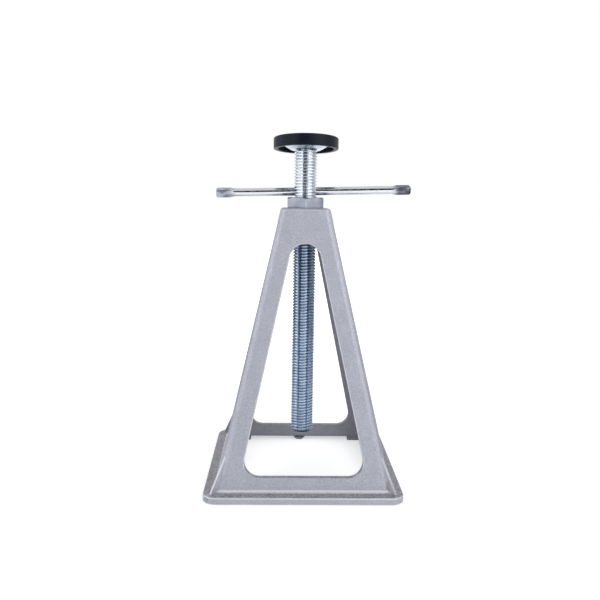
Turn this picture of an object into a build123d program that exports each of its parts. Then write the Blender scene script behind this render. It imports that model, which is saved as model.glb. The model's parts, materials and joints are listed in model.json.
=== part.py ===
from build123d import *
import os
from math import asin, atan2, cos, degrees, hypot, radians, sin, sqrt, tan

# Screw jack stand: a hollow cast pyramid with a nut in its top, a long screw with a sliding
# bar, and a tilting round head with a rubber pad. Millimetres. Z is up, the front faces -Y,
# and the origin is on the ground under the axis of the screw, which is right down at rest.

# Whole stand
overall_height = 290.0
frame_height = 230.0

# Base flange
base_width = 160.0
base_corner_radius = 11.0
foot_height = 1.0
rim_height = 5.7
rim_thickness = 3.0
rim_chamfer = 1.0
flange_thickness = 3.2

# Pyramid
foot_width = 141.4
top_width = 41.0
wall = 5.0
leg_edge_radius = 6.0
leg_inner_radius = 3.0
foot_bevel_height = 2.2
foot_bevel_width = 1.4
foot_bevel_radius = 9.0
top_block_height = 24.0
top_chamfer = 1.3
underside_round = 5.0

# Windows, the same on all four sides
sill_height = 17.8
window_sill_width = 101.0
window_arch_height = 201.2
window_arch_radius = 12.9
window_corner_radius = 12.0

# Corner gussets
gusset_height = 27.0
gusset_thickness = 2.6
gusset_inset = 4.07
gusset_round = 0.9

# Pads and domes that the stand rests on
pad_inset = 2.2
pad_width = 9.8
pad_length = 32.0
dome_width = 13.4
dome_tip_width = 7.4
dome_inset = 7.4

# Nut
nut_across_flats = 30.0
nut_height = 18.0
nut_proud = 9.0
nut_clearance = 0.1
nut_chamfer_angle = 28.0
nut_face_ratio = 0.96

# Screw
thread_diameter = 19.05
thread_clearance = 0.06
casting_bore = 22.0
screw_length = 242.3
screw_end_chamfer = 1.4
rivet_pin_diameter = 10.0
rivet_head_diameter = 14.0
rivet_head_height = 1.5
rivet_head_edge = 0.5

# Tommy bar
bar_diameter = 7.0
bar_length = 164.0
bar_offset = 7.0
bar_tilt = 1.7
bar_above_nut = 1.5
bar_hole_play = 0.45
bar_end_length = 12.0
bar_end_width = 6.6
bar_end_turn = 25.0
bar_end_round = 0.7
bar_shoulder_length = 3.5
bar_tip_length = 1.8
bar_tip_width = 4.8

# Head
head_tilt = 4.5
dish_thickness = 1.8
dish_floor_width = 24.2
dish_cone_angle = 28.5
dish_rim_width = 48.0
dish_hole_play = 0.6
washer_width = 17.0
washer_thickness = 1.8
washer_clearance = 0.05
head_play = 0.08
pad_diameter = 54.4
pad_height = 9.3
pad_drop = 0.6
pad_top_thickness = 3.0
pad_lip = 0.5
pad_edge_chamfer = 1.0

# Two places closer than this are the same place
same = 0.01

# Levels and half widths that follow from the sizes above
rim_bottom = foot_height
flange_top = rim_bottom + rim_height
flange_underside = flange_top - flange_thickness
cavity_top = frame_height - top_block_height
panel_slope = (foot_width - top_width) / 2 / (frame_height - flange_top)
wall_level = wall * sqrt(1 + panel_slope**2)
thread_radius = thread_diameter / 2
bar_radius = bar_diameter / 2
pin_radius = rivet_pin_diameter / 2
pocket_floor = frame_height + nut_proud - nut_height
nut_top = frame_height + nut_proud
bar_level = nut_top + bar_above_nut + bar_radius
tilt_slope = tan(radians(head_tilt))
pad_top = pad_drop + pad_height
pad_edge_rise = (pad_diameter / 2 - pad_edge_chamfer) * sin(radians(head_tilt))
pad_top_rise = pad_top * cos(radians(head_tilt))
pivot_level = overall_height - pad_edge_rise - pad_top_rise
crown_drop = head_play + thread_radius * tilt_slope
shoulder_level = pivot_level - crown_drop
washer_bottom = dish_thickness + washer_width / 2 * tilt_slope + head_play
rivet_bottom = washer_bottom + washer_thickness + washer_clearance


def panel_half_width(level):
    """Half the width across two opposite outer faces of the pyramid at a level."""
    return foot_width / 2 - panel_slope * (level - flange_top)


def corner_reach(half_width, corner_radius):
    """From the axis out along the diagonal to the rounded corner of a square."""
    return sqrt(2) * half_width - (sqrt(2) - 1) * corner_radius


def square_block(low, low_width, high, high_width, corner_radius):
    """A square block with rounded corners that tapers from one level to another."""
    lean = degrees(atan2((low_width - high_width) / 2, high - low))
    block = extrude(Plane.XY.offset(low) * Rectangle(low_width, low_width), high - low, taper=lean)
    middle = (low + high) / 2
    corners = block.edges().filter_by_position(Axis.Z, middle - same, middle + same)
    return fillet(corners, corner_radius)


def disc(radius, low, high):
    """A round disc or rod on the Z axis between two levels."""
    return Pos(0, 0, low) * Cylinder(radius, high - low, align=(Align.CENTER, Align.CENTER, Align.MIN))


def turned(points):
    """A turned solid on the Z axis from (radius, level) corners."""
    profile = Plane.XZ * make_face(Polyline(*points, close=True))
    return revolve(profile, Axis.Z)


def window_outline():
    """A window in the XZ plane: a level sill, rounded lower corners and an arched top."""
    half_sill = window_sill_width / 2
    arch_centre = window_arch_height - window_arch_radius
    rise = arch_centre - sill_height
    lean = atan2(half_sill, rise) - asin(window_arch_radius / hypot(half_sill, rise))
    touch_x = window_arch_radius * cos(lean)
    touch_z = arch_centre + window_arch_radius * sin(lean)
    outline = Line((-touch_x, touch_z), (-half_sill, sill_height))
    outline += Line((-half_sill, sill_height), (half_sill, sill_height))
    outline += Line((half_sill, sill_height), (touch_x, touch_z))
    outline += ThreePointArc((touch_x, touch_z), (0, window_arch_height), (-touch_x, touch_z))
    sketch = make_face(outline)
    lower_corners = sketch.vertices().sort_by(Axis.Y)[:2]
    return Plane.XZ * fillet(lower_corners, window_corner_radius)


def gusset():
    """The thin web at one corner, flaring from the leg down to the corner of the flange."""
    top = flange_top + gusset_height
    root = sqrt(2) * (panel_half_width(top) - leg_edge_radius) + leg_edge_radius
    foot = corner_reach(base_width / 2, base_corner_radius) - gusset_inset
    inside = sqrt(2) * (panel_half_width(flange_top) - leg_edge_radius)
    sunk = flange_top - flange_thickness / 2
    points = [(root, top), (foot, flange_top), (foot, sunk), (inside, sunk), (inside, flange_top)]
    web = extrude(Plane.XZ * make_face(Polyline(*points, close=True)), gusset_thickness / 2, both=True)
    ridge = max(web.faces(), key=lambda face: face.normal_at().X * face.area)
    edges = ridge.edges().filter_by(Axis.Y, reverse=True)
    return Rot(0, 0, 45) * fillet(edges, gusset_round)


def turn_in_round():
    """The rounding where the flange's underside turns in, at most half as wide as its shelf."""
    rim = base_width / 2 - rim_thickness
    cavity = panel_half_width(flange_underside) - wall_level
    side = rim - cavity
    corner = corner_reach(rim, base_corner_radius - rim_thickness) - corner_reach(cavity, leg_inner_radius)
    return min(underside_round, side / 2, corner / 2)


def stand_frame():
    """The casting: pyramid, flange, windows, gussets, pads, nut pocket and bore."""
    flange = Pos(0, 0, rim_bottom) * extrude(
        RectangleRounded(base_width, base_width, base_corner_radius), rim_height
    )
    flange = chamfer(flange.faces().sort_by(Axis.Z)[-1].edges(), rim_chamfer)
    pyramid = square_block(
        flange_underside, 2 * panel_half_width(flange_underside), frame_height, top_width,
        leg_edge_radius,
    )
    pyramid = chamfer(pyramid.faces().sort_by(Axis.Z)[-1].edges(), top_chamfer)
    bevel_top = flange_top + foot_bevel_height
    bevel = square_block(
        flange_top, foot_width + 2 * foot_bevel_width, bevel_top, 2 * panel_half_width(bevel_top),
        foot_bevel_radius,
    )
    body = flange + pyramid + bevel
    for quarter in range(4):
        body += Rot(0, 0, 90 * quarter) * gusset()

    channel_width = base_width - 2 * rim_thickness
    channel = extrude(
        RectangleRounded(channel_width, channel_width, base_corner_radius - rim_thickness),
        flange_underside,
    )
    cavity_foot = 2 * (panel_half_width(0) - wall_level)
    cavity_head = 2 * (panel_half_width(cavity_top) - wall_level)
    cavity = square_block(0, cavity_foot, cavity_top, cavity_head, leg_inner_radius)
    body -= channel + cavity
    ceiling = body.edges().filter_by_position(Axis.Z, flange_underside - same, flange_underside + same)
    inner_half = panel_half_width(flange_underside) - wall_level + same
    turn_in = [e for e in ceiling if max(abs(e.center().X), abs(e.center().Y)) < inner_half]
    body = fillet(turn_in, turn_in_round())

    window = window_outline()
    for quarter in range(2):
        body -= Rot(0, 0, 90 * quarter) * extrude(window, base_width, both=True)

    pocket_width = nut_across_flats + 2 * nut_clearance
    body -= Pos(0, 0, pocket_floor) * extrude(hexagon(pocket_width), nut_height)
    body -= disc(casting_bore / 2, 0, frame_height)
    return body + feet()


def feet():
    """Four corner pads and four mid-side domes inside the rim, which the stand rests on."""
    sunk = flange_underside + flange_thickness / 2
    outer_width = base_width - 2 * pad_inset
    inner_width = outer_width - 2 * pad_width
    ring = extrude(
        RectangleRounded(outer_width, outer_width, base_corner_radius - pad_inset)
        - RectangleRounded(inner_width, inner_width, leg_inner_radius),
        sunk,
    )
    dome = turned(
        [(0, 0), (dome_tip_width / 2, 0), (dome_width / 2, flange_underside + same),
         (0, flange_underside + same)]
    )
    reach = base_width / 2
    shape = Part()
    for quarter in range(4):
        corner = Pos(reach, reach, 0) * Box(2 * pad_length, 2 * pad_length, base_width)
        shape += Rot(0, 0, 90 * quarter) * (ring & corner)
        shape += Rot(0, 0, 90 * quarter) * (Pos(reach - dome_inset, 0, 0) * dome)
    return shape


def hexagon(across_flats):
    """A hexagon with one corner to the front."""
    return RegularPolygon(across_flats / sqrt(3), 6, rotation=30)


def hex_nut():
    """The nut: chamfered at both ends, bored to run on the screw."""
    corner_radius = nut_across_flats / sqrt(3)
    face_radius = nut_face_ratio * nut_across_flats / 2
    bevel = (corner_radius - face_radius) * tan(radians(nut_chamfer_angle))
    envelope = turned(
        [(0, 0), (face_radius, 0), (corner_radius, bevel), (corner_radius, nut_height - bevel),
         (face_radius, nut_height), (0, nut_height)]
    )
    body = extrude(hexagon(nut_across_flats), nut_height) & envelope
    body -= disc(thread_radius + thread_clearance, 0, nut_height)
    return Pos(0, 0, pocket_floor) * body


def lift_screw():
    """The screw: chamfered lower end, cross hole, crowned shoulder and riveted pin."""
    tail = shoulder_level - screw_length
    crown_edge = pivot_level - head_play - pin_radius * tilt_slope
    rivet_level = pivot_level + rivet_bottom
    rivet_top = rivet_level + rivet_head_height
    head_radius = rivet_head_diameter / 2
    body = turned(
        [(0, tail), (thread_radius - screw_end_chamfer, tail), (thread_radius, tail + screw_end_chamfer),
         (thread_radius, shoulder_level), (pin_radius, crown_edge), (pin_radius, rivet_level),
         (head_radius, rivet_level), (head_radius, rivet_level + rivet_head_edge),
         (head_radius - rivet_head_height, rivet_top), (0, rivet_top)]
    )
    hole = Rot(0, 90, 0) * Cylinder(bar_radius + bar_hole_play, 2 * thread_diameter)
    return body - Pos(0, 0, bar_level) * hole


def bar_end():
    """One forged square end of the bar, from its shoulder out to its tip, along +X."""
    shank = Plane.YZ * Circle(bar_radius)
    square = Rot(0, 0, bar_end_turn) * RectangleRounded(bar_end_width, bar_end_width, bar_end_round)
    narrow = Rot(0, 0, bar_end_turn) * RectangleRounded(bar_tip_width, bar_tip_width, bar_end_round)
    start = Plane.YZ.offset(bar_shoulder_length) * square
    tip_start = Plane.YZ.offset(bar_shoulder_length + bar_end_length - bar_tip_length) * square
    tip_end = Plane.YZ.offset(bar_shoulder_length + bar_end_length) * narrow
    shoulder = loft([shank.face(), start.face()])
    head = extrude(start, bar_end_length - bar_tip_length)
    tip = loft([tip_start.face(), tip_end.face()], ruled=True)
    return shoulder + head + tip


def tommy_bar():
    """The sliding bar, a round rod with forged square ends, lying a little askew in its hole."""
    shank_half = bar_length / 2 - bar_end_length - bar_shoulder_length
    body = Rot(0, 90, 0) * Cylinder(bar_radius, 2 * shank_half)
    body += Pos(shank_half, 0, 0) * bar_end()
    body += Rot(0, 0, 180) * (Pos(shank_half, 0, 0) * bar_end())
    return Pos(0, 0, bar_level) * Rot(0, -bar_tilt, 0) * Pos(bar_offset, 0, 0) * body


def tilted(shape):
    """Puts a piece of the head, drawn level about its pivot, into its place at rest."""
    return Pos(0, 0, pivot_level) * Rot(-head_tilt, 0, 0) * shape


def retaining_washer():
    """The washer that the riveted pin holds down over the floor of the dish."""
    washer = disc(washer_width / 2, washer_bottom, washer_bottom + washer_thickness)
    washer -= disc(pin_radius + washer_clearance, washer_bottom, rivet_bottom)
    return Pos(0, 0, pivot_level) * washer


def head_dish():
    """The pressed dish: flat floor with a hole, shallow cone and flat rim."""
    hole_radius = pin_radius + dish_hole_play
    floor_radius = dish_floor_width / 2
    rim_radius = dish_rim_width / 2
    rim_under = pad_top - pad_top_thickness - dish_thickness
    cone = tan(radians(dish_cone_angle))
    bend = dish_thickness * tan(radians(dish_cone_angle / 2))
    cone_radius = floor_radius + rim_under / cone
    body = turned(
        [(hole_radius, 0), (floor_radius, 0), (cone_radius, rim_under), (rim_radius, rim_under),
         (rim_radius, rim_under + dish_thickness), (cone_radius - bend, rim_under + dish_thickness),
         (floor_radius - bend, dish_thickness), (hole_radius, dish_thickness)]
    )
    return tilted(body)


def rubber_pad():
    """The rubber cap, whose skirt has a groove that holds the rim of the dish."""
    outer = pad_diameter / 2
    groove = dish_rim_width / 2
    lip = groove - pad_lip
    groove_top = pad_top - pad_top_thickness
    groove_bottom = groove_top - dish_thickness
    body = turned(
        [(0, groove_top), (groove, groove_top), (groove, groove_bottom), (lip, groove_bottom),
         (lip, pad_drop), (outer, pad_drop), (outer, pad_top), (0, pad_top)]
    )
    rims = body.edges().filter_by(GeomType.CIRCLE)
    outer_rims = [e for e in rims if abs(e.radius - outer) < same]
    return tilted(chamfer(outer_rims, pad_edge_chamfer))


nodes = {
    "stand_frame": stand_frame,
    "hex_nut": hex_nut,
    "lift_screw": lift_screw,
    "tommy_bar": tommy_bar,
    "retaining_washer": retaining_washer,
    "head_dish": head_dish,
    "rubber_pad": rubber_pad,
}

os.makedirs("parts", exist_ok=True)
for name, make in nodes.items():
    export_step(make(), f"parts/{name}.step")
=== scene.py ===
import json
import math
import bpy
from mathutils import Matrix, Vector


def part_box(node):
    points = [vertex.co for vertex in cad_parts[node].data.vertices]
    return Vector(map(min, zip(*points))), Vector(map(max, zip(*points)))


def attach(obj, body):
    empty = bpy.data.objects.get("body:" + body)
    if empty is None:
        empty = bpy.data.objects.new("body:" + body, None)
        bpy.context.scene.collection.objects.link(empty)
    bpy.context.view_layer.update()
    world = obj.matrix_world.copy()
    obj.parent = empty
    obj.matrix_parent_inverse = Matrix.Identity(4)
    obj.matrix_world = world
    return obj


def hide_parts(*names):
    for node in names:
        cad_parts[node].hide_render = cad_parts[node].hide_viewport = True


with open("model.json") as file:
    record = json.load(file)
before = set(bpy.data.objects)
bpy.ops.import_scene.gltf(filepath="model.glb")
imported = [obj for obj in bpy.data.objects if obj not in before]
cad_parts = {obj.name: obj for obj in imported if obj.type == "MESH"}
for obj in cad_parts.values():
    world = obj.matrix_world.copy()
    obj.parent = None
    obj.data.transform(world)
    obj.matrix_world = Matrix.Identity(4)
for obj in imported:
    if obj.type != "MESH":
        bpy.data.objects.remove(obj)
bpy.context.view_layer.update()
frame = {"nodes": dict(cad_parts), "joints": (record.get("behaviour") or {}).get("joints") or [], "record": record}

mm = 0.001
up = Vector((0, 0, 1))

# How near counts as the same place
merge_reach = 0.001 * mm
same_place = 0.01 * mm
on_surface = 0.02 * mm

# How edges are found, rounded and shaded, and how finely pieces are turned
sharp_angle = math.radians(30)
edge_segments = 3
corner_segments = 5
soft_crease = 40
crisp_crease = 30
turned_steps = 120

# Places that follow from the frame
mounts = {m["name"]: m for m in frame["record"]["mounts"]}
joints = {j["name"]: j for j in frame["joints"]}
head_pivot = Vector(joints["head_tilt"]["pos_m"])
load_face = Vector(mounts["load_face"]["pos_m"])
load_normal = Vector(mounts["load_face"]["axis"])
bar_direction = Vector(joints["bar_slide"]["axis"])
screw_low, screw_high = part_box("lift_screw")
nut_low, nut_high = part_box("hex_nut")
head_lean = -math.atan2(load_normal.y, load_normal.z)
pad_top = (load_face - head_pivot).length
thread_radius = screw_high.x

# Casting
casting_merge = 0.002 * mm
casting_flatness = math.radians(0.6)
flange_round = 0.5 * mm
window_round = 0.9 * mm
window_foot = 16.5 * mm
window_head = 203 * mm
flange_low = 3 * mm
flange_reach = 80 * mm
flange_corner = 11 * mm
flange_top = 6.7 * mm
frame_top = 230 * mm
top_edge_round = 0.5 * mm
top_edge_reach = 17.6 * mm
top_edge_foot = 228.5 * mm
foot_ridge = 8.9 * mm
gusset_top = 33.5 * mm
gusset_half = 1.3 * mm
gusset_clearance = 0.2 * mm
leg_round = 6 * mm
dome_place = 72.6 * mm
dome_reach = 4.2 * mm
dome_round = 0.8 * mm
panel_foot = 70.7 * mm
panel_head = 20.5 * mm

# How a face of the casting leans where it is marked: up, outwards or inwards
rim_lean = 0.3
bevel_least_lean = 0.3
bevel_most_lean = 0.9
ridge_outward = 0.5
skin_inward = -0.4

# Marks on the casting: a dark ring, and a painted brown reflection on a gusset
ring_place = (-76.6 * mm, -77.0 * mm, 3.9 * mm)
ring_size = (2.9 * mm, 2.9 * mm, 2.1 * mm)
ring_heart_size = (1.5 * mm, 1.5 * mm, 1.2 * mm)
brown_reflection_place = (67.5 * mm, -69.5 * mm, 11 * mm)
brown_reflection_size = (2.6 * mm, 2.6 * mm, 8 * mm)

# Screw and its riveted pin
thread_pitch = 2.54 * mm
thread_depth = 1.15 * mm
thread_steps = 48
thread_merge = 0.005 * mm
blank_margin = 0.5 * mm
tail_chamfer = 1.6 * mm
shoulder_drop = 0.85 * mm
pin_radius = 5 * mm
rivet_radius = 7 * mm
rivet_height = 1.5 * mm
rivet_edge = 0.5 * mm
rivet_foot_round = 0.15 * mm
rivet_side_round = 0.3 * mm
rivet_top_round = 0.5 * mm
neck_drop = 0.4 * mm
neck_round = 0.2 * mm

# Tommy bar
bar_radius = 3.5 * mm
bar_hole_radius = 3.95 * mm
bar_hole_sides = 48
bar_level = nut_high.z + 5 * mm
bar_length = 163.97 * mm
bar_offset = 7 * mm
bar_end_length = 12 * mm
bar_end_width = 6.6 * mm
bar_end_turn = math.radians(25)
bar_end_round = 0.7 * mm
bar_shoulder_length = 3.5 * mm
bar_tip_length = 1.6 * mm
bar_eased_scale = 0.93
bar_tip_scale = 0.76
bar_sides = 96
bar_end_facing = 0.9

# Nut
nut_across_flats = 30 * mm
nut_face_radius = 14.4 * mm
nut_chamfer_angle = math.radians(28)
nut_cone_rise = 0.53 * mm
nut_edge_round = 0.3 * mm
nut_contact_shade_height = 1.4 * mm
nut_bore_radius = thread_radius + 0.05 * mm

# Head
dish_thickness = 1.8 * mm
dish_hole_radius = 5.6 * mm
dish_floor_radius = 12.1 * mm
dish_rim_radius = 24 * mm
dish_cone_angle = math.radians(28.5)
dish_hole_round = 0.2 * mm
dish_floor_bend = 1.2 * mm
dish_rim_bend = 1 * mm
dish_inner_bend = 0.6 * mm
dish_rim_round = 0.3 * mm
pad_radius = 27.2 * mm
pad_low = 0.6 * mm
pad_top_thickness = 3 * mm
pad_lip = 0.5 * mm
pad_edge_round = 1.1 * mm
pad_foot_round = 0.7 * mm
pad_lip_round = 0.5 * mm
pad_groove_round = 0.2 * mm

# Camera, fitted to the photograph's outlines
image_width = 600
focal_pixels = 684.3
camera_place = Vector((-19.5, -585.5, 238.6)) * mm
camera_yaw = math.radians(1.6)
camera_pitch = math.radians(8.5)
camera_roll = math.radians(0.88)
camera_sensor = 36.0
camera_near = 10 * mm

# Studio. Lamps: name, place, width, height, watts
room_grey = (0.48, 0.49, 0.51, 1)
paper_white = (0.86, 0.86, 0.86, 1)
floor_size = 12.0
studio_middle = (0, 0, 0.2)
lamps = (
    ("left_box", (-0.97, -0.87, 0.85), 0.75, 1.5, 7.3),
    ("right_box", (0.98, -0.86, 0.85), 1.2, 1.5, 12.4),
)

# Cards: name, centre, turn in degrees, width, height, colour, glow
cards = (
    ("low_card", (-0.17, -0.75, 0.28), 0, 0.74, 0.30, (0.045, 0.033, 0.033), 0.0),
    ("tall_card", (-0.22, -0.76, 0.65), 0, 0.58, 1.10, (0.03, 0.03, 0.03), 0.0),
    ("left_card", (-0.70, -0.10, 0.40), -90, 0.90, 0.80, (0.8, 0.8, 0.8), 1.3),
    ("left_shade", (-0.30, 0.14, 0.10), -90, 0.26, 0.20, (0.18, 0.19, 0.22), 0.0),
    ("right_card", (0.30, -0.04, 0.10), 90, 0.45, 0.20, (0.18, 0.19, 0.22), 0.0),
)


def select_only(*objects):
    """Selects these objects alone and makes the first one active."""
    bpy.ops.object.select_all(action="DESELECT")
    for obj in objects:
        obj.select_set(True)
    bpy.context.view_layer.objects.active = objects[0]


def added(name):
    """Names the object that the last operator added."""
    obj = bpy.context.active_object
    obj.name = name
    obj.data.name = name
    return obj


def settle(obj):
    """Puts an object's place, turn and size into its mesh."""
    select_only(obj)
    bpy.ops.object.transform_apply(location=True, rotation=True, scale=True)
    return obj


def start_editing(obj, kind="VERT"):
    """Opens an object for mesh work with nothing selected."""
    select_only(obj)
    bpy.ops.object.mode_set(mode="EDIT")
    bpy.ops.mesh.select_mode(type=kind)
    bpy.ops.mesh.select_all(action="DESELECT")


def stop_editing():
    """Goes back from mesh work to whole objects."""
    bpy.ops.object.mode_set(mode="OBJECT")


def pick_faces(obj, wanted):
    """Selects the faces for which wanted(face) is true, and opens the object for mesh work."""
    start_editing(obj, "FACE")
    stop_editing()
    obj.data.polygons.foreach_set("select", [bool(wanted(face)) for face in obj.data.polygons])
    bpy.ops.object.mode_set(mode="EDIT")


def mark_faces(obj, mark, wanted, value=1.0):
    """Writes a value for the finish to read on the faces for which wanted(face) is true."""
    marks = obj.data.attributes.get(mark) or obj.data.attributes.new(mark, "FLOAT", "FACE")
    for face in obj.data.polygons:
        if wanted(face):
            marks.data[face.index].value = value


def round_sharp_edges(obj, width, wanted):
    """Rounds the sharp edges for which wanted(end, end) is true, and marks the new faces for wear and painted
    highlight.
    """
    start_editing(obj, "EDGE")
    bpy.ops.mesh.edges_select_sharp(sharpness=sharp_angle)
    stop_editing()
    points = [v.co for v in obj.data.vertices]
    chosen = [
        edge.select and bool(wanted(points[edge.vertices[0]], points[edge.vertices[1]]))
        for edge in obj.data.edges
    ]
    start_editing(obj, "EDGE")
    stop_editing()
    obj.data.edges.foreach_set("select", chosen)
    bpy.ops.object.mode_set(mode="EDIT")
    bpy.ops.mesh.bevel(offset=width, segments=edge_segments, clamp_overlap=False)
    stop_editing()
    mark_faces(obj, "wear_and_highlight", lambda face: face.select)


def apply_modifier(obj, modifier):
    """Applies one modifier for good."""
    select_only(obj)
    bpy.ops.object.modifier_apply(modifier=modifier.name)


def cut(obj, tool, operation):
    """Cuts or trims an object with a tool, which is then thrown away."""
    modifier = obj.modifiers.new("cut", "BOOLEAN")
    modifier.operation = operation
    modifier.solver = "EXACT"
    modifier.object = tool
    apply_modifier(obj, modifier)
    bpy.data.objects.remove(tool, do_unlink=True)


def smooth(obj, degrees):
    """Smooth shading, with creases where faces meet at more than this angle."""
    select_only(obj)
    bpy.ops.object.shade_smooth_by_angle(angle=math.radians(degrees))


def flatten_broad_faces(obj):
    """Lets broad flat faces keep their own normal beside rounded edges."""
    modifier = obj.modifiers.new("weighted", "WEIGHTED_NORMAL")
    modifier.keep_sharp = True
    apply_modifier(obj, modifier)


def finish_piece(obj, material, body, slot, *nodes):
    """Gives a piece its material and body, and lets it stand for its CAD nodes. The slot is not used."""
    settle(obj)
    obj.data.materials.clear()
    obj.data.materials.append(material)
    if nodes:
        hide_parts(*nodes)
    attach(obj, body)
    return obj


def drawn_line(name, places, level=0):
    """A line through (radius, height) places above a level, left open for mesh work."""
    bpy.ops.object.select_all(action="DESELECT")
    bpy.ops.mesh.primitive_plane_add(size=mm, location=(places[0][0], 0, level + places[0][1]))
    line = settle(added(name))
    start_editing(line)
    bpy.ops.mesh.select_all(action="SELECT")
    bpy.ops.mesh.merge(type="CENTER")
    for (r0, z0), (r1, z1) in zip(places, places[1:]):
        bpy.ops.mesh.extrude_vertices_move(TRANSFORM_OT_translate={"value": (r1 - r0, 0, z1 - z0)})
    return line


def turned(name, corners):
    """A turned piece on the Z axis. Each corner is (radius, level, rounding)."""
    places = [(radius, level) for radius, level, _ in corners]
    is_ring = places[0][0] > 0
    if is_ring:
        places.append(places[0])
    piece = drawn_line(name, places)
    if is_ring:
        bpy.ops.mesh.select_all(action="SELECT")
        bpy.ops.mesh.remove_doubles(threshold=merge_reach)
    for radius, level, rounding in corners:
        if rounding:
            bpy.ops.mesh.select_all(action="DESELECT")
            stop_editing()
            corner = Vector((radius, 0, level))
            nearest = min(piece.data.vertices, key=lambda v: (v.co - corner).length)
            nearest.select = True
            bpy.ops.object.mode_set(mode="EDIT")
            bpy.ops.mesh.bevel(offset=rounding, segments=corner_segments, affect="VERTICES")
    bpy.ops.mesh.select_all(action="SELECT")
    bpy.ops.mesh.spin(steps=turned_steps, angle=math.tau, center=(0, 0, 0), axis=(0, 0, 1))
    bpy.ops.mesh.select_all(action="SELECT")
    bpy.ops.mesh.remove_doubles(threshold=merge_reach)
    bpy.ops.mesh.normals_make_consistent(inside=False)
    stop_editing()
    return piece


def into_head(piece):
    """Moves a piece drawn level about the head's pivot into its place at rest."""
    piece.matrix_world = Matrix.Translation(head_pivot) @ Matrix.Rotation(head_lean, 4, "X")
    return settle(piece)


class Finish:
    """A node material, built in reading order from the surface's own coordinates."""

    def __init__(self, name):
        self.material = bpy.data.materials.new(name)
        self.material.use_nodes = True
        self.tree = self.material.node_tree
        self.shader = self.tree.nodes["Principled BSDF"]
        self.place = self.add("ShaderNodeTexCoord").outputs["Object"]

    def add(self, kind, **settings):
        """A new node with these settings."""
        node = self.tree.nodes.new(kind)
        for key, value in settings.items():
            setattr(node, key, value)
        return node

    def link(self, output, socket):
        """Joins an output to a socket."""
        self.tree.links.new(output, socket)

    def drive(self, name, output):
        """Feeds one of the shader's sockets."""
        self.link(output, self.shader.inputs[name])

    def set(self, **values):
        """Sets the shader's own sockets; underscores stand for spaces."""
        for key, value in values.items():
            self.shader.inputs[key.replace("_", " ")].default_value = value

    def stretched(self, scale, centre=(0, 0, 0)):
        """The surface's coordinates, moved to a centre and scaled along each axis."""
        node = self.add("ShaderNodeMapping")
        node.inputs["Scale"].default_value = scale
        node.inputs["Location"].default_value = [-c * s for c, s in zip(centre, scale)]
        self.link(self.place, node.inputs["Vector"])
        return node.outputs["Vector"]

    def noise(self, scale, detail=2.0, roughness=0.5, place=None):
        """Noise whose features are about one over scale, in metres."""
        node = self.add("ShaderNodeTexNoise")
        node.inputs["Scale"].default_value = scale
        node.inputs["Detail"].default_value = detail
        node.inputs["Roughness"].default_value = roughness
        self.link(place or self.place, node.inputs["Vector"])
        return node.outputs["Fac"]

    def spot(self, centre, size):
        """One round a centre, falling to nothing at the size given along each axis."""
        return self.ramp(self.reach([1 / s for s in size], centre), (0.55, 1.0), (1.0, 0.0))

    def marked(self, mark):
        """A mark that the piece carries on its own faces, one or nothing."""
        return self.add("ShaderNodeAttribute", attribute_name=mark).outputs["Fac"]

    def reach(self, scale, centre=(0, 0, 0)):
        """Distance from a centre, with the coordinates scaled along each axis."""
        node = self.add("ShaderNodeVectorMath", operation="LENGTH")
        self.link(self.stretched(scale, centre), node.inputs[0])
        return node.outputs["Value"]

    def facing_up(self):
        """One on level upper faces, nothing on upright ones."""
        normal = self.add("ShaderNodeNewGeometry").outputs["Normal"]
        parts = self.add("ShaderNodeSeparateXYZ")
        self.link(normal, parts.inputs[0])
        return self.ramp(parts.outputs["Z"], (0.85, 0.0), (0.97, 1.0))

    def ramp(self, value, *stops):
        """Maps a value to colours: stops of (position, colour or grey)."""
        node = self.add("ShaderNodeValToRGB")
        elements = node.color_ramp.elements
        while len(elements) < len(stops):
            elements.new(1.0)
        for element, (position, colour) in zip(elements, stops):
            if not isinstance(colour, tuple):
                colour = (colour, colour, colour)
            element.position = position
            element.color = (*colour, 1.0)
        self.link(value, node.inputs["Fac"])
        return node.outputs["Color"]

    def mix(self, factor, first, second, blend="MIX"):
        """Mixes two colours; the factor is a number or an output."""
        node = self.add("ShaderNodeMix", data_type="RGBA", blend_type=blend)
        if isinstance(factor, (int, float)):
            node.inputs["Factor"].default_value = factor
        else:
            self.link(factor, node.inputs["Factor"])
        for socket, colour in ((node.inputs[6], first), (node.inputs[7], second)):
            if isinstance(colour, tuple):
                socket.default_value = (*colour, 1.0)
            else:
                self.link(colour, socket)
        return node.outputs[2]

    def times(self, first, second):
        """Multiplies two colours."""
        return self.mix(1.0, first, second, "MULTIPLY")

    def tinted(self, where, colour, tint):
        """The colour, multiplied by a tint where the factor is one."""
        return self.mix(where, colour, self.times(colour, tint))

    def bump(self, height, strength, distance, normal=None):
        """A normal that rises and falls with a height, on top of another normal if one is given."""
        node = self.add("ShaderNodeBump")
        node.inputs["Strength"].default_value = strength
        node.inputs["Distance"].default_value = distance
        self.link(height, node.inputs["Height"])
        if normal:
            self.link(normal, node.inputs["Normal"])
        return node.outputs["Normal"]


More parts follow.
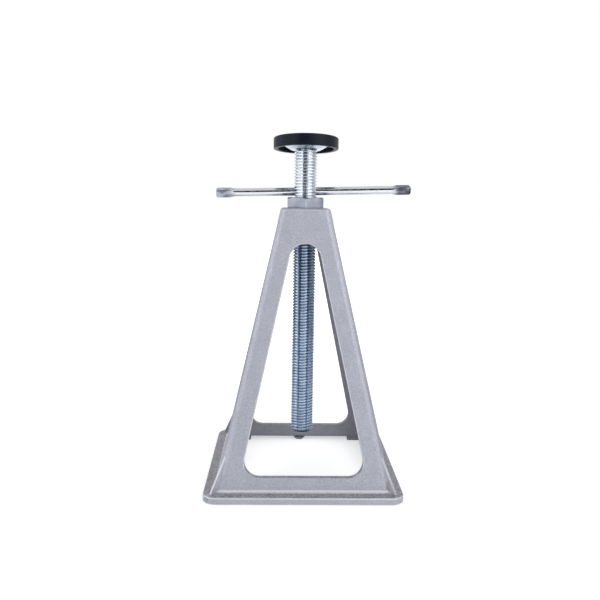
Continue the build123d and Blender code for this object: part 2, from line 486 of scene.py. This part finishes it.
def cast_aluminium():
    """Shot-blasted cast aluminium: grain, mottling, pits on the level faces with painted shade, edge wear with
    painted highlights, painted shade inside, and two marks, a dark ring and a painted brown reflection.
    """
    f = Finish("cast_aluminium")
    f.set(Metallic=0.35, IOR=1.5)
    grain = f.noise(1100, detail=3.0, roughness=0.7)
    mottle = f.noise(70, detail=3.0)
    pits = f.noise(520, detail=2.0, roughness=0.8)
    level = f.facing_up()

    ring_dark = (0.20, 0.20, 0.22)
    ring_heart = (0.40, 0.41, 0.46)
    painted_brown_reflection = (0.86, 0.70, 0.64)
    inner_shade = (0.62, 0.60, 0.61)
    bare_metal_and_highlight = (0.60, 0.605, 0.64)

    blasted = f.ramp(
        grain,
        (0.30, (0.300, 0.308, 0.362)),
        (0.52, (0.400, 0.409, 0.472)),
        (0.74, (0.54, 0.55, 0.61)),
    )
    skin = f.times(blasted, f.ramp(mottle, (0.35, 0.93), (0.65, 1.0)))
    # Pits on the level upper faces, with painted shade that darkens those faces
    pits_and_top_shade = f.ramp(
        pits,
        (0.40, (0.56, 0.51, 0.50)),
        (0.52, (0.86, 0.81, 0.79)),
        (0.62, (0.97, 0.92, 0.90)),
    )
    skin = f.tinted(level, skin, pits_and_top_shade)
    skin = f.mix(f.spot(ring_place, ring_size), skin, ring_dark)
    skin = f.mix(f.spot(ring_place, ring_heart_size), skin, ring_heart)
    # A painted brown reflection on a gusset
    skin = f.tinted(f.spot(brown_reflection_place, brown_reflection_size), skin, painted_brown_reflection)
    # Painted shade on the inside of the hollow casting
    skin = f.tinted(f.marked("inside"), skin, inner_shade)
    # Edge wear, with painted highlights, on the marked faces
    rubbed_and_highlit = f.ramp(grain, (0.35, 0.45), (0.60, 1.0))
    bright = f.times(f.mix(f.marked("wear_and_highlight"), (0, 0, 0), (1, 1, 1)), rubbed_and_highlit)
    f.drive("Base Color", f.mix(bright, skin, bare_metal_and_highlight))
    f.drive("Roughness", f.ramp(grain, (0.3, 0.60), (0.7, 0.44)))

    fine = f.bump(grain, 0.45, 0.3 * mm)
    f.drive("Normal", f.bump(mottle, 0.2, 0.9 * mm, fine))
    return f.material


def zinc_plate(name, darkest, lightest, gloss, rubbed_and_highlit, root=None, seat=None):
    """Bright zinc plate with faint clouding, uneven gloss, and edge wear with painted highlights.

    A thread's root radius gives it painted shade in the root and a bluish stretch inside the frame.
    The level of a seat gives it painted contact shade just above that level.
    """
    f = Finish(name)
    f.set(Metallic=1.0)
    cloud = f.noise(160, detail=4.0)
    speck = f.noise(1400, detail=2.0)
    plate = f.ramp(cloud, (0.35, darkest), (0.65, lightest))
    # Edge wear, with painted highlights, on the marked faces
    plate = f.mix(f.marked("wear_and_highlight"), plate, rubbed_and_highlit)
    if seat:
        # Painted contact shade just above the seat
        top = nut_high.z
        unshaded = seat + nut_contact_shade_height
        contact_shade = f.ramp(f.reach((0, 0, 1 / top)), (seat / top, 0.50), (unshaded / top, 1.0))
        plate = f.times(plate, contact_shade)
    if root:
        radius = f.reach((1 / thread_radius, 1 / thread_radius, 0))
        # One at the thread's root, nothing near its crest
        depth = f.ramp(radius, (root / thread_radius, 1.0), (0.965, 0.0))
        height = f.reach((0, 0, 1 / frame_top))
        # One up to the window's arch, fading to nothing at the casting's top, with the screw at rest
        sheltered = f.ramp(height, (0.87, 1.0), (0.995, 0.0))
        # Painted shade in the thread's roots, inside the frame
        plate = f.tinted(f.times(depth, sheltered), plate, (0.72, 0.72, 0.73))
        plate = f.tinted(sheltered, plate, (0.72, 0.85, 1.0))
    f.drive("Base Color", plate)
    f.drive("Roughness", f.ramp(cloud, (0.3, gloss + 0.06), (0.7, gloss)))
    f.drive("Normal", f.bump(speck, 0.08, 0.03 * mm))
    return f.material


def polished_steel():
    """The drawn and plated bar: mirror-like, with faint lines along it and a few dull flecks.

    Its forged ends keep patches of scale, and the right one is darker as well.
    """
    f = Finish("polished_steel")
    f.set(Metallic=1.0)
    lines = f.noise(900, detail=2.0, place=f.stretched((0.04, 1, 1)))
    flecks = f.noise(420, detail=3.0, roughness=0.7)
    steel = f.ramp(lines, (0.35, (0.52, 0.53, 0.56)), (0.65, (0.66, 0.67, 0.70)))
    # From nothing at the bar's middle to one at its tips
    along = f.reach((2 / bar_length, 0, 0), (bar_offset, 0, 0))
    forged = f.ramp(along, (0.80, 0.0), (0.86, 1.0))
    patches = f.noise(330, detail=2.0, place=f.stretched((0.45, 1, 1)))
    scaly = f.ramp(patches, (0.40, (0.30, 0.31, 0.36)), (0.58, (0.66, 0.67, 0.74)))
    steel = f.tinted(forged, steel, scaly)
    # Only the right end lies this far from the screw
    right_end_darker = f.ramp(f.reach((1 / bar_length, 0, 0)), (0.46, 0.0), (0.485, 1.0))
    steel = f.tinted(right_end_darker, steel, (0.42, 0.41, 0.42))
    dull = f.ramp(flecks, (0.62, 0.0), (0.74, 0.6))
    f.drive("Base Color", f.mix(dull, steel, (0.30, 0.26, 0.24)))
    f.drive("Roughness", f.mix(forged, f.ramp(flecks, (0.4, 0.10), (0.7, 0.24)), (0.24, 0.24, 0.24)))
    f.drive("Normal", f.bump(lines, 0.06, 0.03 * mm))
    return f.material


def black_rubber():
    """Moulded black rubber with a faint bluish bloom and fine dust."""
    f = Finish("black_rubber")
    f.set(Metallic=0.0, Specular_IOR_Level=0.12)
    dust = f.noise(900, detail=4.0, roughness=0.7)
    cloud = f.noise(120, detail=2.0)
    f.drive("Base Color", f.ramp(dust, (0.45, (0.003, 0.004, 0.012)), (0.75, (0.008, 0.010, 0.024))))
    f.drive("Roughness", f.ramp(cloud, (0.3, 0.46), (0.7, 0.36)))
    f.drive("Normal", f.bump(dust, 0.15, 0.1 * mm))
    return f.material


def same_level(a, b):
    """True for an edge that runs level, from its ends."""
    return abs(a.z - b.z) < same_place


def panel_reach(level):
    """From the middle to the outer face of a panel, at a level."""
    slope = (panel_foot - panel_head) / (frame_top - flange_top)
    return panel_foot - slope * (level - flange_top)


def on_panel(point):
    """True on the four outer panels."""
    return abs(max(abs(point.x), abs(point.y)) - panel_reach(point.z)) < on_surface


def on_outline(point):
    """True on the upright wall round the flange."""
    corner = flange_reach - flange_corner
    past = Vector((max(abs(point.x) - corner, 0), max(abs(point.y) - corner, 0)))
    return abs(past.length - flange_corner) < on_surface


def on_window_rim(a, b):
    """True for an edge round a window, from its ends."""
    return all(on_panel(p) and window_foot < p.z < window_head for p in (a, b))


def on_flange_edge(a, b):
    """True for the flange's upper edge, from its ends."""
    return same_level(a, b) and all(p.z > flange_low and on_outline(p) for p in (a, b))


def on_top_edge(a, b):
    """True for the edge round the flat top, from its ends."""
    return same_level(a, b) and all(
        p.z > top_edge_foot and max(abs(p.x), abs(p.y)) > top_edge_reach for p in (a, b)
    )


def on_dome_tip(a, b):
    """True for an edge of the small domes under the flange, from its ends."""

    def from_dome(point):
        far, near = max(abs(point.x), abs(point.y)), min(abs(point.x), abs(point.y))
        return Vector((far - dome_place, near))

    return all(abs(p.z) < same_place and from_dome(p).length < dome_reach for p in (a, b))


def outward_lean(face):
    """How far a face looks away from the middle: one straight out, minus one straight in."""
    return face.normal.xy.dot(face.center.xy.normalized())


def on_foot_bevel(face):
    """True on the bevel where a panel meets the flange."""
    return (
        flange_top < face.center.z < foot_ridge
        and bevel_least_lean < face.normal.z < bevel_most_lean
        and outward_lean(face) > 0
    )


def on_level_rim(face):
    """True on the parts of a window's rim or of the top edge that look up or down."""
    by_window = window_foot < face.center.z < window_head
    return abs(face.normal.z) > rim_lean and (by_window or face.center.z > top_edge_foot)


def on_gusset_ridge(face):
    """True on the outer ridge of a corner's gusset."""
    x, y, z = face.center
    leg_reach = math.sqrt(2) * panel_reach(z) - (math.sqrt(2) - 1) * leg_round
    return (
        flange_top < z < gusset_top
        and abs(abs(x) - abs(y)) < math.sqrt(2) * gusset_half
        and math.hypot(x, y) > leg_reach + gusset_clearance
        and outward_lean(face) > ridge_outward
    )


def on_inner_skin(face):
    """True on the inside of the hollow casting."""
    return outward_lean(face) < skin_inward


def casting():
    """The casting: the frame's own solid with its rims and edges rounded over, its edge wear and painted
    highlights marked, and its inside marked for painted shade.
    """
    mesh = frame["nodes"]["stand_frame"].data.copy()
    stand = bpy.data.objects.new("casting", mesh)
    bpy.context.scene.collection.objects.link(stand)
    start_editing(stand)
    bpy.ops.mesh.select_all(action="SELECT")
    bpy.ops.mesh.remove_doubles(threshold=casting_merge)
    bpy.ops.mesh.dissolve_limited(angle_limit=casting_flatness)
    stop_editing()
    round_sharp_edges(stand, window_round, on_window_rim)
    round_sharp_edges(stand, flange_round, on_flange_edge)
    round_sharp_edges(stand, top_edge_round, on_top_edge)
    round_sharp_edges(stand, dome_round, on_dome_tip)
    # Wear and painted highlights on the foot bevels and gusset ridges, none on the level rims
    mark_faces(stand, "wear_and_highlight", on_foot_bevel)
    mark_faces(stand, "wear_and_highlight", on_level_rim, 0.0)
    mark_faces(stand, "wear_and_highlight", on_gusset_ridge)
    # The inside, for painted shade
    mark_faces(stand, "inside", on_inner_skin)
    return stand


def thread_profile():
    """One pitch of the thread as (radius, height) corners, from root to root."""
    root = thread_radius - thread_depth
    # Shares of the pitch along the screw, and of the depth out from the root
    shape = ((0.00, 0.00), (0.08, 0.02), (0.12, 0.16), (0.24, 0.80), (0.29, 0.95), (0.36, 1.00),
             (0.64, 1.00), (0.71, 0.95), (0.76, 0.80), (0.88, 0.16), (0.92, 0.02), (1.00, 0.00))
    return [(root + rise * thread_depth, along * thread_pitch) for along, rise in shape]


def threaded_rod():
    """The screw: a rolled right-hand thread from end to end, chamfered below, drilled for the bar."""
    shoulder = head_pivot.z - shoulder_drop
    start = screw_low.z - thread_pitch
    turns = math.ceil((shoulder - start) / thread_pitch) + 1
    rod = drawn_line("threaded_rod", thread_profile(), start)
    stop_editing()
    twist = rod.modifiers.new("thread", "SCREW")
    twist.axis = "Z"
    twist.angle = math.tau
    twist.screw_offset = thread_pitch
    twist.iterations = turns
    twist.steps = thread_steps
    twist.render_steps = thread_steps
    twist.use_merge_vertices = False
    apply_modifier(rod, twist)
    start_editing(rod)
    bpy.ops.mesh.select_all(action="SELECT")
    bpy.ops.mesh.remove_doubles(threshold=thread_merge)
    for level, outward in ((screw_low.z, -up), (shoulder, up)):
        bpy.ops.mesh.select_all(action="SELECT")
        bpy.ops.mesh.bisect(plane_co=(0, 0, level), plane_no=outward, use_fill=True, clear_outer=True)
    bpy.ops.mesh.select_all(action="SELECT")
    bpy.ops.mesh.normals_make_consistent(inside=False)
    stop_editing()
    cut(rod, rod_envelope(screw_low.z, shoulder), "INTERSECT")
    cut(rod, cross_drill(), "DIFFERENCE")
    return rod


def rod_envelope(low, high):
    """A turned blank a little wider and higher than the thread, with the tail's chamfer."""
    reach = thread_radius + blank_margin
    tail = thread_radius - tail_chamfer
    past = high + mm
    return turned("envelope", [
        (0, low, 0), (tail, low, 0), (reach, low + reach - tail, 0), (reach, past, 0), (0, past, 0),
    ])


def cross_drill():
    """The drill for the bar's cross hole."""
    bpy.ops.object.select_all(action="DESELECT")
    bpy.ops.mesh.primitive_cylinder_add(
        vertices=bar_hole_sides, radius=bar_hole_radius, depth=3 * thread_radius,
        location=(0, 0, bar_level), rotation=(0, math.pi / 2, 0),
    )
    return settle(added("drill"))


def screw_pin():
    """The turned neck on top of the screw, with the head that was riveted over inside the dish."""
    foot = head_pivot.z - shoulder_drop
    neck = head_pivot.z - neck_drop
    rivet = screw_high.z - rivet_height
    return turned("screw_pin", [
        (0, foot, 0),
        (thread_radius - thread_depth, foot, 0),
        (pin_radius, neck, neck_round),
        (pin_radius, rivet, 0),
        (rivet_radius, rivet, rivet_foot_round),
        (rivet_radius, rivet + rivet_edge, rivet_side_round),
        (rivet_radius - rivet_height, screw_high.z, rivet_top_round),
        (0, screw_high.z, 0),
    ])


def square_reach(angle):
    """From the bar's axis to the skin of its square end, in one direction."""
    half = bar_end_width / 2
    inner = half - bar_end_round
    x = abs(math.cos(angle - bar_end_turn))
    y = abs(math.sin(angle - bar_end_turn))
    flat = half / max(x, y)
    if flat * min(x, y) <= inner:
        return flat
    spread = inner * (x + y)
    return spread + math.sqrt(bar_end_round**2 - (inner * (x - y)) ** 2)


def tommy_bar():
    """The sliding bar: a drawn rod, both ends forged square, turned about its axis, and eased."""
    shank_half = bar_length / 2 - bar_end_length - bar_shoulder_length
    bpy.ops.object.select_all(action="DESELECT")
    bpy.ops.mesh.primitive_cylinder_add(
        vertices=bar_sides, radius=bar_radius, depth=2 * shank_half, rotation=(0, math.pi / 2, 0)
    )
    bar = settle(added("forged_bar"))
    straight = bar_end_length - bar_tip_length
    for side in (-1, 1):
        for length, shape in (
            (bar_shoulder_length * 0.5, "half"), (bar_shoulder_length * 0.5, "square"),
            (straight, "square"), (bar_tip_length * 0.5, "eased"), (bar_tip_length * 0.5, "tip"),
        ):
            pick_faces(bar, lambda face: face.normal.x * side > bar_end_facing)
            bpy.ops.mesh.extrude_region_move(TRANSFORM_OT_translate={"value": (side * length, 0, 0)})
            stop_editing()
            reshape_ring(bar, shape)
    bar.matrix_world = (
        Matrix.Translation((0, 0, bar_level))
        @ Vector((1, 0, 0)).rotation_difference(bar_direction).to_matrix().to_4x4()
        @ Matrix.Translation((bar_offset, 0, 0))
    )
    settle(bar)
    start_editing(bar)
    bpy.ops.mesh.select_all(action="SELECT")
    bpy.ops.mesh.normals_make_consistent(inside=False)
    stop_editing()
    return bar


def reshape_ring(bar, shape):
    """Gives the ring just extruded the section that the forging has there."""
    for vertex in bar.data.vertices:
        if vertex.select:
            angle = math.atan2(vertex.co.z, vertex.co.y)
            square = square_reach(angle)
            reach = {
                "half": 0.5 * (bar_radius + square), "square": square,
                "eased": bar_eased_scale * square, "tip": bar_tip_scale * square,
            }[shape]
            vertex.co.y = reach * math.cos(angle)
            vertex.co.z = reach * math.sin(angle)


def on_nut_corner(a, b):
    """True for one of the six upright edges between the nut's flats, from its ends."""
    return (a.xy - b.xy).length < same_place and a.xy.length > nut_face_radius


def hex_nut():
    """The nut: a hexagon bar trimmed by a cone at each end, bored, its edges just broken."""
    corner = nut_across_flats / math.sqrt(3)
    bevel = (corner - nut_face_radius) * math.tan(nut_chamfer_angle)
    low, high = nut_low.z, nut_high.z
    bpy.ops.object.select_all(action="DESELECT")
    bpy.ops.mesh.primitive_cylinder_add(
        vertices=6, radius=corner, depth=high - low, location=(0, 0, (low + high) / 2)
    )
    nut = settle(added("chamfered_nut"))
    past = corner + mm
    cut(nut, turned("cones", [
        (0, low, 0), (nut_face_radius, low, 0), (past, low + bevel + nut_cone_rise, 0),
        (past, high - bevel - nut_cone_rise, 0), (nut_face_radius, high, 0), (0, high, 0),
    ]), "INTERSECT")
    cut(nut, turned("bore", [
        (0, low - mm, 0), (nut_bore_radius, low - mm, 0),
        (nut_bore_radius, high + mm, 0), (0, high + mm, 0),
    ]), "DIFFERENCE")
    # The rounded corners carry painted highlights along with wear
    round_sharp_edges(nut, nut_edge_round, on_nut_corner)
    return nut


def pressed_dish():
    """The pressed dish, with the soft bends that pressing leaves."""
    rim_under = pad_top - pad_top_thickness - dish_thickness
    rise = rim_under / math.tan(dish_cone_angle)
    bend = dish_thickness * math.tan(dish_cone_angle / 2)
    cone = dish_floor_radius + rise
    rim_top = rim_under + dish_thickness
    return into_head(turned("pressed_dish", [
        (dish_hole_radius, 0, dish_hole_round),
        (dish_floor_radius, 0, dish_floor_bend),
        (cone, rim_under, dish_rim_bend),
        (dish_rim_radius, rim_under, dish_rim_round),
        (dish_rim_radius, rim_top, dish_rim_round),
        (cone - bend, rim_top, dish_inner_bend),
        (dish_floor_radius - bend, dish_thickness, dish_inner_bend),
        (dish_hole_radius, dish_thickness, dish_hole_round),
    ]))


def moulded_pad():
    """The moulded rubber cap, gripping the dish's rim in its groove."""
    groove_top = pad_top - pad_top_thickness
    groove_foot = groove_top - dish_thickness
    lip = dish_rim_radius - pad_lip
    return into_head(turned("moulded_pad", [
        (0, groove_top, 0),
        (dish_rim_radius, groove_top, 0),
        (dish_rim_radius, groove_foot, 0),
        (lip, groove_foot, pad_groove_round),
        (lip, pad_low, pad_lip_round),
        (pad_radius, pad_low, pad_foot_round),
        (pad_radius, pad_top, pad_edge_round),
        (0, pad_top, 0),
    ]))


def make_camera():
    """The camera at the photograph's place, turn and field of view."""
    data = bpy.data.cameras.new("camera")
    data.sensor_fit = "HORIZONTAL"
    data.sensor_width = camera_sensor
    data.lens = camera_sensor * focal_pixels / image_width
    data.clip_start = camera_near
    camera = bpy.data.objects.new("camera", data)
    bpy.context.scene.collection.objects.link(camera)
    yaw, pitch, roll = camera_yaw, camera_pitch, camera_roll
    ahead = Vector((math.sin(yaw) * math.cos(pitch), math.cos(yaw) * math.cos(pitch), -math.sin(pitch)))
    level = Vector((math.cos(yaw), -math.sin(yaw), 0))
    above = level.cross(ahead)
    right = math.cos(roll) * level + math.sin(roll) * above
    top = -math.sin(roll) * level + math.cos(roll) * above
    turn = Matrix((right, top, -ahead)).transposed().to_4x4()
    camera.matrix_world = Matrix.Translation(camera_place) @ turn
    bpy.context.scene.camera = camera


def softbox(name, place, width, height, power):
    """A large soft lamp that faces the studio's middle."""
    data = bpy.data.lights.new(name, "AREA")
    data.shape = "RECTANGLE"
    data.size = width
    data.size_y = height
    data.energy = power
    lamp = bpy.data.objects.new(name, data)
    bpy.context.scene.collection.objects.link(lamp)
    turn = (Vector(place) - Vector(studio_middle)).to_track_quat("Z", "Y")
    lamp.matrix_world = Matrix.Translation(place) @ turn.to_matrix().to_4x4()
    lamp.visible_camera = False


def mirrored_card(name, centre, turn, width, height, colour, glow):
    """A card beside the set, there only for the bright metal to mirror."""
    bpy.ops.object.select_all(action="DESELECT")
    bpy.ops.mesh.primitive_plane_add(
        size=1, rotation=(math.pi / 2, 0, math.radians(turn)), location=centre
    )
    card = added(name)
    card.scale = (width, height, 1)
    settle(card)
    f = Finish(name)
    f.set(Base_Color=(*colour, 1), Roughness=1.0, Specular_IOR_Level=0.0)
    f.set(Emission_Color=(1, 1, 1, 1), Emission_Strength=glow)
    card.data.materials.append(f.material)
    card.visible_camera = False
    card.visible_diffuse = False
    card.visible_shadow = False


def seen_bright(tree):
    """One for rays from the camera, off gloss and through glass, and nothing for the rest."""
    path = tree.nodes.new("ShaderNodeLightPath")
    seen = path.outputs["Is Camera Ray"]
    for kind in ("Is Glossy Ray", "Is Transmission Ray"):
        either = tree.nodes.new("ShaderNodeMath")
        either.operation = "MAXIMUM"
        tree.links.new(seen, either.inputs[0])
        tree.links.new(path.outputs[kind], either.inputs[1])
        seen = either.outputs[0]
    return seen


def make_surround():
    """A world that is white where it is seen and a plain grey light elsewhere."""
    world = bpy.data.worlds.new("surround")
    world.use_nodes = True
    tree = world.node_tree
    light = tree.nodes["Background"]
    light.inputs["Color"].default_value = room_grey
    white = tree.nodes.new("ShaderNodeBackground")
    white.inputs["Color"].default_value = (1, 1, 1, 1)
    mix = tree.nodes.new("ShaderNodeMixShader")
    tree.links.new(seen_bright(tree), mix.inputs["Fac"])
    tree.links.new(light.outputs["Background"], mix.inputs[1])
    tree.links.new(white.outputs["Background"], mix.inputs[2])
    tree.links.new(mix.outputs["Shader"], tree.nodes["World Output"].inputs["Surface"])
    bpy.context.scene.world = world


def floor_paper():
    """White paper that glows a little where it is seen, less near the object, so its shadow stays."""
    f = Finish("white_paper")
    f.set(Base_Color=paper_white, Roughness=0.9, Specular_IOR_Level=0.0)
    glow = f.add("ShaderNodeEmission")
    f.link(f.ramp(f.reach((1, 1, 1)), (0.20, 0.50), (1.0, 1.0)), glow.inputs["Color"])
    f.link(seen_bright(f.tree), glow.inputs["Strength"])
    total = f.add("ShaderNodeAddShader")
    f.link(f.shader.outputs["BSDF"], total.inputs[0])
    f.link(glow.outputs["Emission"], total.inputs[1])
    f.link(total.outputs["Shader"], f.tree.nodes["Material Output"].inputs["Surface"])
    return f.material


def make_studio():
    """A white paper floor, two tall soft lamps in front, and the cards that the metal mirrors."""
    bpy.context.scene.view_settings.view_transform = "Standard"
    make_surround()
    bpy.ops.object.select_all(action="DESELECT")
    bpy.ops.mesh.primitive_plane_add(size=floor_size, location=(0, 0, 0))
    floor = settle(added("floor"))
    floor.data.materials.append(floor_paper())
    for lamp in lamps:
        softbox(*lamp)
    for card in cards:
        mirrored_card(*card)


casting_finish = cast_aluminium()
screw_finish = zinc_plate(
    "screw_zinc",
    darkest=(0.47, 0.51, 0.56),
    lightest=(0.59, 0.63, 0.68),
    gloss=0.20,
    rubbed_and_highlit=(0.78, 0.80, 0.83),
    root=thread_radius - thread_depth,
)
nut_finish = zinc_plate(
    "nut_zinc",
    darkest=(0.200, 0.215, 0.255),
    lightest=(0.245, 0.268, 0.315),
    gloss=0.40,
    rubbed_and_highlit=(0.46, 0.47, 0.50),
    seat=frame_top,
)
dish_finish = zinc_plate(
    "dish_zinc",
    darkest=(0.42, 0.49, 0.57),
    lightest=(0.52, 0.59, 0.67),
    gloss=0.26,
    rubbed_and_highlit=(0.70, 0.72, 0.75),
)
bar_finish = polished_steel()
rubber_finish = black_rubber()

washer = frame["nodes"]["retaining_washer"]
washer.data.materials.clear()
washer.data.materials.append(dish_finish)

stand = casting()
smooth(stand, soft_crease)
flatten_broad_faces(stand)
finish_piece(stand, casting_finish, "frame", "cast_body", "stand_frame")

nut = hex_nut()
smooth(nut, crisp_crease)
finish_piece(nut, nut_finish, "frame", "zinc_steel", "hex_nut")

rod = threaded_rod()
smooth(rod, soft_crease)
finish_piece(rod, screw_finish, "screw", "zinc_steel", "lift_screw")

pin = screw_pin()
smooth(pin, soft_crease)
finish_piece(pin, screw_finish, "screw", "zinc_steel")

bar = tommy_bar()
smooth(bar, crisp_crease)
finish_piece(bar, bar_finish, "bar", "zinc_steel", "tommy_bar")

dish = pressed_dish()
smooth(dish, soft_crease)
finish_piece(dish, dish_finish, "head", "zinc_steel", "head_dish")

pad = moulded_pad()
smooth(pad, soft_crease)
finish_piece(pad, rubber_finish, "head", "black_rubber", "rubber_pad")

make_camera()
make_studio()
